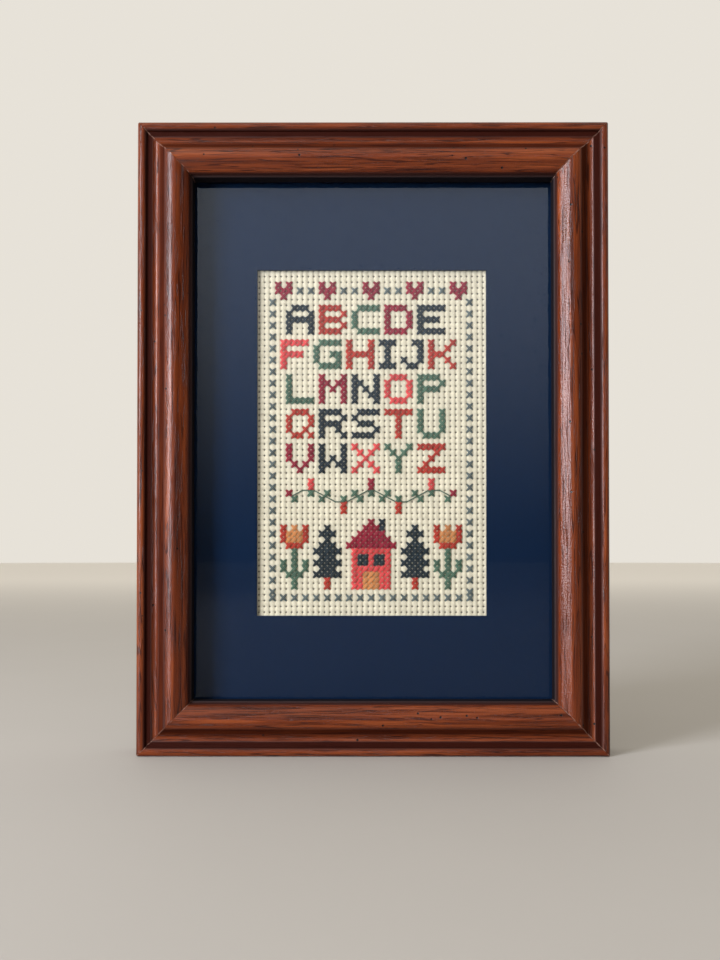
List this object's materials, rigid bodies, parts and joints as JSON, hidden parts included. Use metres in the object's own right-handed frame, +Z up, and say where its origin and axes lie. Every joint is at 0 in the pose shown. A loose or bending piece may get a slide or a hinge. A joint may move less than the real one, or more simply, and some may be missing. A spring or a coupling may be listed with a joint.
{
  "type": "framed cross stitch sampler",
  "caption": "Cross stitched Aida cloth behind a navy window mat and glass, in a mitred red-brown oak frame that stands upright on its bottom rail.",
  "frame": {"origin": "middle of the frame's flat base, under the bottom rail", "axes": "+Z up the frame, +X to the right as seen from the front, and the front faces -Y"},
  "size_m": [0.1536, 0.019, 0.2066],
  "materials": {
    "stained_oak": "red-brown stain under a satin lacquer",
    "clear_glass": "clear, polished",
    "navy_mat": "matt navy mat board",
    "ivory_aida": "ivory cotton Aida weave, stitched with cotton floss",
    "floss_crimson": "crimson stranded cotton",
    "floss_coral": "coral stranded cotton",
    "floss_rust": "rust stranded cotton",
    "floss_orange": "soft orange stranded cotton",
    "floss_navy": "dark blue-green stranded cotton",
    "floss_green": "sage green stranded cotton",
    "floss_grey": "grey-green stranded cotton",
    "hardboard": "plain brown hardboard",
    "point_steel": "zinc plated"
  },
  "bodies": {
    "root": {"rail_top": "stained_oak", "rail_bottom": "stained_oak", "rail_left": "stained_oak", "rail_right": "stained_oak", "glass_pane": "clear_glass", "mat_board": "navy_mat", "aida_cloth": "ivory_aida", "backing_board": "hardboard", "steel_point_1": "point_steel", "steel_point_2": "point_steel", "steel_point_3": "point_steel", "steel_point_4": "point_steel", "steel_point_5": "point_steel", "steel_point_6": "point_steel"}
  },
  "joints": []
}
